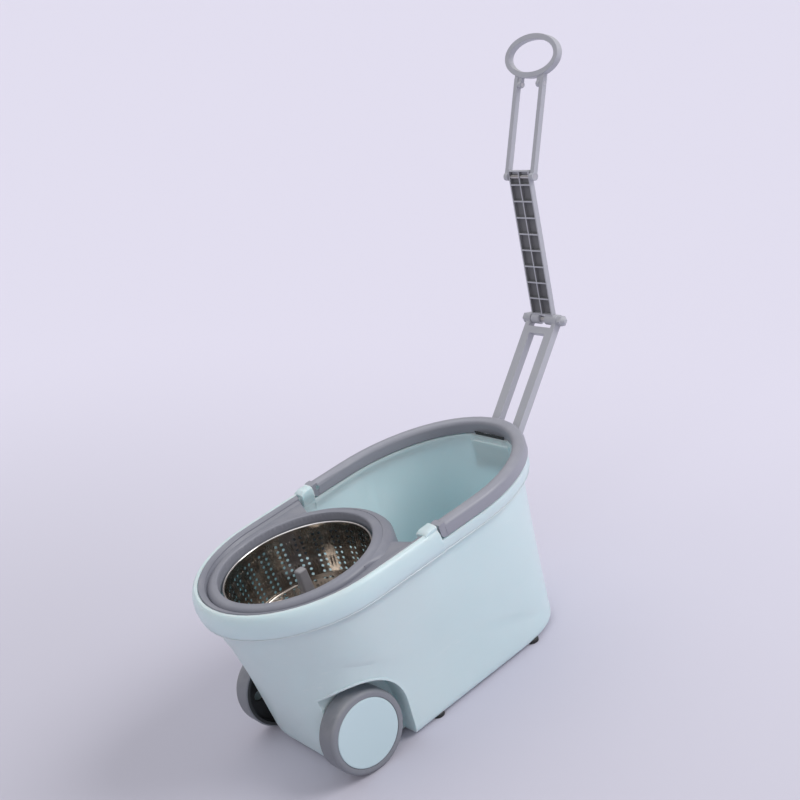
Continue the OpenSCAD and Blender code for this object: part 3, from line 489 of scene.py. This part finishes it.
# pairs of short beads pressed inwards between the groups of holes, in two tiers down the wall
wall_low, wall_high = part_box("basket_wall")
drum_x = (wall_low.x + wall_high.x) / 2
sheet_thickness, band_height = 0.001, 0.0035
mouth_radius = (wall_high.x - wall_low.x) / 2 - sheet_thickness
foot_radius = (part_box("basket_floor")[1].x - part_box("basket_floor")[0].x) / 2
cone_top = wall_high.z - band_height
lean = math.atan2(mouth_radius - foot_radius, cone_top - wall_low.z)
bead_groups, bead_turn = 23, math.radians(11.2)
bead_tiers = ((wall_high.z - 0.0215, 0.0195), (wall_high.z - 0.0515, 0.017))
bead_rise, bead_half_width, bead_offset = 0.00095, 0.0012, 0.0022
beads = bmesh.new()
for bead_height, bead_length in bead_tiers:
    bead_radius = foot_radius + (bead_height - wall_low.z) * math.tan(lean)
    for group in range(bead_groups):
        group_angle = bead_turn + (group + 0.5) * 2 * math.pi / bead_groups
        for bead_side in (-1, 1):
            bead_angle = group_angle + bead_side * bead_offset / bead_radius
            bead_place = (
                Matrix.Translation((drum_x, 0, bead_height))
                @ Matrix.Rotation(bead_angle, 4, "Z")
                @ Matrix.Translation((bead_radius, 0, 0))
                @ Matrix.Rotation(lean, 4, "Y")
                @ Matrix.Diagonal((bead_rise, bead_half_width, bead_length / 2, 1))
            )
            bmesh.ops.create_uvsphere(beads, u_segments=10, v_segments=10, radius=1, matrix=bead_place)
for bead_face in beads.faces:
    bead_face.smooth = True
new_piece("drum_beads", beads, drum_steel, "basket")

# ---- Splash collar ----
# A grey moulding that drops into the step of the rim: a raised lip round the basket and a dish
# that falls away to both sides and throws water back into the tub.
collar_grey = plastic(
    "collar_plastic",
    (0.218, 0.224, 0.268),
    (0.202, 0.208, 0.248),
    0.38,
    (0.5, 0.5, 0.53),
    scuff=0.15,
    dust=0.1,
)
rounded_copy("splash_collar", "collar", "collar", collar_grey, rounding=0.0005, corner=40)

# the apron behind the opening, carried down as a skirt and faired into the lip at both ends
opening = next(mount for mount in frame["record"]["mounts"] if mount["name"] == "collar_opening")
lip_width, lip_drop = 0.014, 0.0006
lip_radius = opening["dims"]["r_mm"] / 1000 + lip_width
lip_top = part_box("splash_collar")[1].z - lip_drop
skirt_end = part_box("basket_rim")[1].z - 0.054
apron_end = lip_top - 0.014
apron_full, apron_none, apron_steps = math.radians(57), math.radians(76), 96
least_reach = 0.02
# the skirt's section: distance out from the lip, and height
apron_section = (
    (-0.001, lip_top - 0.0034),
    (0.0031, lip_top - 0.0045),
    (0.0081, lip_top - 0.0079),
    (0.0111, lip_top - 0.012),
    (0.0118, skirt_end),
    (0.0098, skirt_end),
    (0.009, lip_top - 0.0145),
    (0.002, lip_top - 0.008),
    (-0.0015, lip_top - 0.007),
)
apron = bmesh.new()
apron_axis = Vector((drum_x, 0, 0))
section = [apron.verts.new((drum_x + lip_radius + out, 0, height)) for out, height in apron_section]
section_edges = [apron.edges.new(pair) for pair in zip(section, section[1:] + section[:1])]
bmesh.ops.rotate(apron, cent=apron_axis, matrix=Matrix.Rotation(-apron_none, 3, "Z"), verts=section)
bmesh.ops.spin(
    apron,
    geom=section + section_edges,
    cent=apron_axis,
    axis=(0, 0, 1),
    angle=2 * apron_none,
    steps=apron_steps,
)
bmesh.ops.edgeloop_fill(apron, edges=[edge for edge in apron.edges if edge.is_boundary])
for corner in apron.verts:
    turn = math.atan2(corner.co.y, corner.co.x - drum_x)
    out = math.hypot(corner.co.x - drum_x, corner.co.y) - lip_radius
    fade = min(1, (apron_none - abs(turn)) / (apron_none - apron_full))
    reach = least_reach + (1 - least_reach) * fade * fade * (3 - 2 * fade)
    if out > 0:
        corner.co.x = drum_x + (lip_radius + out * reach) * math.cos(turn)
        corner.co.y = (lip_radius + out * reach) * math.sin(turn)
    if corner.co.z < (apron_end + skirt_end) / 2:
        corner.co.z = apron_end + (skirt_end - apron_end) * reach
bmesh.ops.recalc_face_normals(apron, faces=apron.faces)
collar_apron = new_piece("collar_apron", apron, collar_grey, "collar")
collar_apron.data.shade_smooth()
collar_apron.data.set_sharp_from_angle(angle=math.radians(50))

# ---- Bail ----
# A thick grey carrying handle, one hollow moulding that lies on the shelf of the rim and turns
# on two steel pins.
bail_grey = plastic(
    "bail_plastic",
    (0.295, 0.3, 0.35),
    (0.272, 0.277, 0.325),
    0.36,
    (0.5, 0.5, 0.53),
    scuff=0.2,
    dust=0.1,
)
rounded_copy("bail", "carrying_bail", "bail", bail_grey, rounding=0.0008, corner=50)
for side in ("left", "right"):
    rounded_copy("bail_pin_" + side, "bail_pivot_" + side, "bucket", pin_steel, rounding=0)

# ---- Wheels ----
# Hard grey plastic wheels with a rounded tread and a black core, on steel stub axles. A flat aqua
# cap snaps into the outer face and hides the axle's end and its push nut.
tread_worn = (0.38, 0.38, 0.4)
wheel_grey = plastic("wheel_plastic", (0.222, 0.23, 0.26), (0.192, 0.2, 0.228), 0.5, tread_worn, scuff=0.8)
cap_worn = (0.7, 0.77, 0.8)
cap_aqua = plastic("cap_polypropylene", (0.52, 0.645, 0.69), (0.5, 0.625, 0.67), 0.33, cap_worn, coat=0.1)
core_black = plastic("wheel_core", (0.035, 0.037, 0.042), (0.03, 0.031, 0.035), 0.6, (0.12, 0.12, 0.13))
tread_depth, cap_seat = 0.0058, 0.01
for side in ("left", "right"):
    wheel = rounded_copy("wheel_" + side, "road_wheel_" + side, side + "_wheel", wheel_grey, corner=40)
    wheel.data.materials.append(core_black)
    wheel_low, wheel_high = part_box("wheel_" + side)
    hub = (wheel_low + wheel_high) / 2
    core_radius = (wheel_high.x - wheel_low.x) / 2 - tread_depth
    cap_floor = max(abs(wheel_low.y), abs(wheel_high.y)) - cap_seat
    for face in wheel.data.polygons:
        from_axle = math.hypot(face.center.x - hub.x, face.center.z - hub.z)
        if from_axle < core_radius and abs(face.center.y) < cap_floor:
            face.material_index = 1
    rounded_copy("wheel_cap_" + side, "hub_cap_" + side, side + "_wheel", cap_aqua, rounding=0.0006)
    rounded_copy("axle_" + side, "stub_axle_" + side, "bucket", pin_steel, rounding=0)
    rounded_copy("axle_retainer_" + side, "push_nut_" + side, "bucket", pin_steel, rounding=0)

# ---- Drawbar bracket ----
# A grey moulded clevis, held by two steel screws in the channel at the back of the tub. The steel
# pin through it is the drawbar's first hinge.
bar_worn = (0.55, 0.55, 0.58)
bar_grey = plastic("drawbar_plastic", (0.455, 0.46, 0.505), (0.425, 0.43, 0.475), 0.42, bar_worn)
rounded_copy("handle_bracket", "clevis", "bucket", bar_grey)
rounded_copy("bracket_screws", "clevis_screws", "bucket", pin_steel, rounding=0)
rounded_copy("base_pin", "clevis_pin", "bucket", pin_steel, rounding=0)

# ---- Lower link ----
# A flat grey moulding with a long slot between two bars; its far end is a hinge with a steel pin
# held by two capped nuts.
rounded_copy("lower_link", "slotted_link", "drawbar_lower", bar_grey)
rounded_copy("knee_pin", "knee_shaft", "drawbar_lower", pin_steel, rounding=0)
for side in ("left", "right"):
    rounded_copy("knee_cap_" + side, "knee_nut_" + side, "drawbar_lower", bar_grey, rounding=0.0003)

# ---- Middle link ----
# A grey moulding, cored out from the front into two rows of square pockets between thin ribs. The
# pockets' faces are painted darker, as painted shade. A steel pin through its far end carries the rails.
pocket_shade_worn = (0.3, 0.3, 0.33)
# painted shade: a much darker grey for the faces inside the pockets, standing in for the shade there
pocket_painted_shade = plastic("painted_pocket_shade", (0.19, 0.19, 0.205), (0.165, 0.165, 0.178), 0.6, pocket_shade_worn)
pocket_link = rounded_copy("middle_link", "pocket_link", "drawbar_middle", bar_grey, rounding=0.0003)
pocket_link.data.materials.append(pocket_painted_shade)
pivot = {joint["name"]: Vector(joint["pos_m"]) for joint in frame["joints"] if "pos_m" in joint}
link_span = pivot["drawbar_top"] - pivot["drawbar_knee"]
link_way = link_span.normalized()
link_front = link_way.cross(Vector((0, 1, 0)))
rib_top, pocket_floor, side_wall, knuckle, past_pin = 0.0033, -0.0016, 0.0185, 0.012, 0.004
# painted shade: faces that lie inside the pockets get the darker material
for face in pocket_link.data.polygons:
    spot = face.center - pivot["drawbar_knee"]
    in_depth = pocket_floor < spot.dot(link_front) < rib_top
    in_length = knuckle < spot.dot(link_way) < link_span.length + past_pin
    if in_depth and in_length and abs(spot.y) < side_wall:
        face.material_index = 1
rounded_copy("top_pin", "top_shaft", "drawbar_middle", pin_steel, rounding=0)

# ---- Rails and ring grip ----
# Two slim grey rails on the pin of the middle link. They carry an oval moulded ring for the hand,
# and a steel rivet joins each to a lug of the ring.
for side in ("left", "right"):
    rounded_copy("rail_" + side, "grip_rail_" + side, "drawbar_grip", bar_grey)
rounded_copy("ring_grip", "grip_ring", "drawbar_grip", bar_grey, rounding=0.0015, corner=40)

# the upper ends of the rails, which run up against the ring
in_plane = Vector((1, 0, 1))
rivet_low, rivet_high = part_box("grip_rivets")
rail_start = pivot["drawbar_top"] * in_plane
rail_span = (rivet_low + rivet_high) / 2 * in_plane - rail_start
rail_way = rail_span.normalized()
rail_frame = Matrix((rail_way, Vector((0, 1, 0)), rail_way.cross(Vector((0, 1, 0))))).transposed().to_4x4()
end_from, end_to, rail_depth = rail_span.length + 0.007, rail_span.length + 0.0145, 0.0066
side_play, end_rounding = 0.0002, 0.0005
ends = bmesh.new()
for side in ("left", "right"):
    rail_low, rail_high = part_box("rail_" + side)
    end_middle = rail_start + rail_way * (end_from + end_to) / 2
    end_middle.y = (rail_low.y + rail_high.y) / 2
    end_size = (end_to - end_from, rail_high.y - rail_low.y - side_play, rail_depth, 1)
    end_place = Matrix.Translation(end_middle) @ rail_frame @ Matrix.Diagonal(end_size)
    bmesh.ops.create_cube(ends, size=1, matrix=end_place)
bmesh.ops.bevel(
    ends,
    geom=ends.edges,
    offset=end_rounding,
    segments=2,
    affect="EDGES",
    profile=0.5,
    material=-1,
)
new_piece("rail_ends", ends, bar_grey, "drawbar_grip")
rounded_copy("grip_rivets", "ring_rivets", "drawbar_grip", pin_steel, rounding=0)
